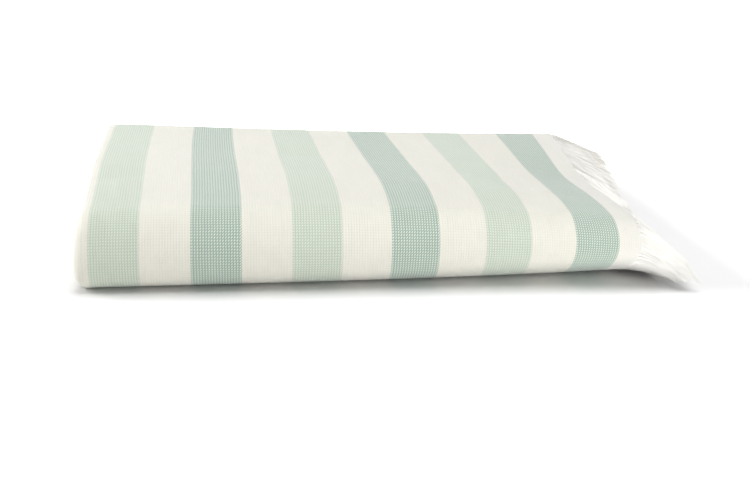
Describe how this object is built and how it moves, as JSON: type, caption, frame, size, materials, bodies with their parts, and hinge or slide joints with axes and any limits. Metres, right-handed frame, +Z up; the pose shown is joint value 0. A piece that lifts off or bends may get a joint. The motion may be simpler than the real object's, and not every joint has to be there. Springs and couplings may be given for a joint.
{
  "type": "folded hammam towel",
  "caption": "Striped cotton hammam towel folded in half twice each way into a flat pack, with a rounded front fold, a closed fold at one side and loose warp fringe at the other.",
  "frame": {"origin": "middle of the underside of the folded towel's bounding box, on the surface it rests on", "axes": "+X along the fold towards the fringe, +Y from the rounded front fold towards the selvedges at the back, +Z up"},
  "size_m": [0.4936, 0.2568, 0.0559],
  "materials": {
    "striped_cotton": "matt honeycomb-weave cotton, white ground with sage green and pale mint weft bands",
    "white_fringe": "matt untwisted white cotton warp ends"
  },
  "bodies": {
    "root": {"towel_cloth": "striped_cotton", "fringe_outer": "white_fringe", "fringe_inner": "white_fringe"}
  },
  "joints": []
}
